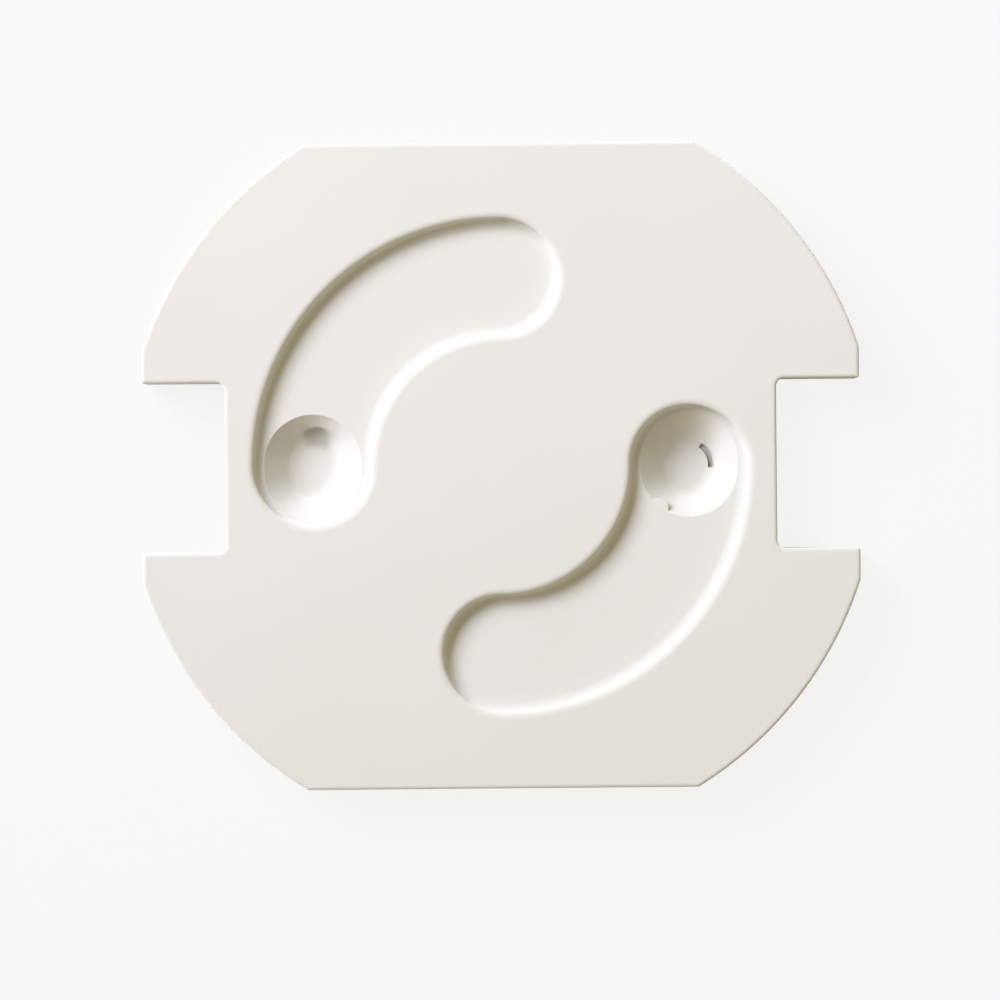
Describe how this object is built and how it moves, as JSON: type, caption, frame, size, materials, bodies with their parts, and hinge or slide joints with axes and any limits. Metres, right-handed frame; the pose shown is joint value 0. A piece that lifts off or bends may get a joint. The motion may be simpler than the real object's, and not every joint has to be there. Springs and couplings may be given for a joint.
{
  "type": "outlet safety cover",
  "caption": "Flat moulded plate that closes the pin holes of a recessed round wall outlet, with curved pin tracks ending in conical pits and side notches for the earth clips.",
  "frame": {"origin": "centre of the flat back face", "axes": "+Z out of the front face, +X towards the notch beside the right pit, +Y towards a long flat"},
  "size_m": [0.035, 0.0316, 0.004],
  "materials": {
    "cover_plate": "moulded ABS, fine satin texture, warm off-white"
  },
  "bodies": {
    "root": {"cover_plate": "cover_plate"}
  },
  "joints": []
}
